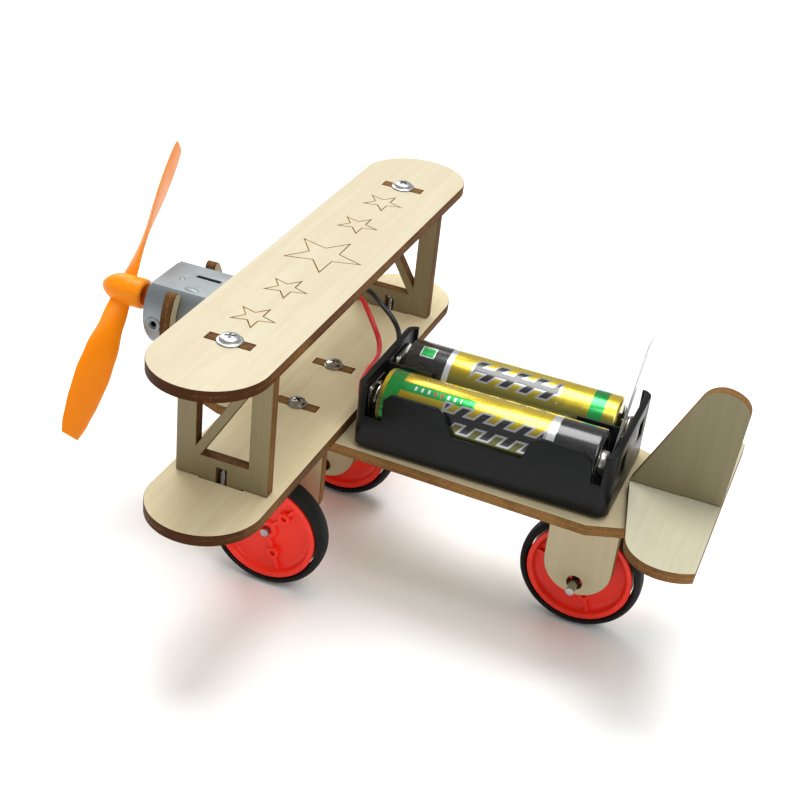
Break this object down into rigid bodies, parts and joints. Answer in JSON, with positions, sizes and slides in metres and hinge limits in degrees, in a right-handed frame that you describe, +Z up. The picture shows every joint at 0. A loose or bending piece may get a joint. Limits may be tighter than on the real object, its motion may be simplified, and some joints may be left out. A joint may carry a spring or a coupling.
{
  "type": "taxiing toy biplane",
  "caption": "Laser-cut plywood toy biplane on wheels: slotted wings and struts, motor in a cradle with a twisted propeller, open cell holder and a tail fin.",
  "frame": {"origin": "centre of the bounding box, at the ground under the wheels", "axes": "+X towards the propeller, +Y to port, +Z up"},
  "size_m": [0.1526, 0.13, 0.0819],
  "materials": {
    "ply": "pale laser-cut plywood",
    "steel": "bright steel rod",
    "zinc": "bright zinc plate",
    "tin": "nickel-plated spring steel",
    "motor_can": "satin plated steel",
    "motor_cap": "moulded nylon",
    "copper": "copper alloy",
    "magnet": "dark sintered",
    "prop": "glossy orange",
    "hub": "glossy red",
    "tyre": "matt black",
    "box": "satin black",
    "cell": "printed foil sleeve",
    "clear": "clear film",
    "pad": "foam",
    "red_pvc": "glossy red insulation",
    "black_pvc": "glossy black insulation"
  },
  "bodies": {
    "airframe": {"upper_wing": "ply", "lower_wing": "ply", "fuselage_board": "ply", "stabilizer": "ply", "tail_fin": "ply", "motor_cradle": "ply", "strut_left": "ply", "front_bracket_left": "ply", "rear_bracket_left": "ply", "wing_screw_left": "zinc", "strut_screw_left": "zinc", "bracket_screw_left": "zinc", "motor_terminal_left": "copper", "magnet_left": "magnet", "front_contact_left": "tin", "strut_right": "ply", "front_bracket_right": "ply", "rear_bracket_right": "ply", "wing_screw_right": "zinc", "strut_screw_right": "zinc", "bracket_screw_right": "zinc", "motor_terminal_right": "copper", "magnet_right": "magnet", "front_contact_right": "tin", "motor_can": "motor_can", "motor_end_cap": "motor_cap", "battery_box": "box", "box_pad": "pad", "rear_contact": "tin", "front_spring": "tin", "rear_spring": "tin", "red_lead": "red_pvc", "black_lead": "black_pvc"},
    "propeller_assembly": {"propeller": "prop", "motor_shaft": "steel", "armature": "magnet", "commutator": "copper"},
    "front_wheels": {"front_axle": "steel", "front_hub_left": "hub", "front_hub_right": "hub", "front_tyre_left": "tyre", "front_tyre_right": "tyre"},
    "rear_wheel": {"rear_axle": "steel", "rear_hub": "hub", "rear_tyre": "tyre"},
    "pull_tab": {"pull_tab": "clear"},
    "left_cell": {"battery_left": "cell"},
    "right_cell": {"battery_right": "cell"}
  },
  "joints": [
    {"name": "propeller_spin", "type": "hinge", "parent": "airframe", "child": "propeller_assembly", "pos_m": [0.0503, 0, 0.0519], "axis": [1, 0, 0], "continuous": true},
    {"name": "front_axle_spin", "type": "hinge", "parent": "airframe", "child": "front_wheels", "pos_m": [0.0199, 0, 0.01425], "axis": [0, 1, 0], "continuous": true},
    {"name": "rear_axle_spin", "type": "hinge", "parent": "airframe", "child": "rear_wheel", "pos_m": [-0.0485, 0, 0.01425], "axis": [0, 1, 0], "continuous": true},
    {"name": "pull_tab_slide", "type": "slide", "parent": "airframe", "child": "pull_tab", "axis": [-0.1045, 0, 0.9945], "range_m": [0, 0.035]},
    {"name": "left_cell_lift", "type": "slide", "parent": "airframe", "child": "left_cell", "axis": [0, 0, 1], "range_m": [0, 0.02]},
    {"name": "right_cell_lift", "type": "slide", "parent": "airframe", "child": "right_cell", "axis": [0, 0, 1], "range_m": [0, 0.02]}
  ]
}
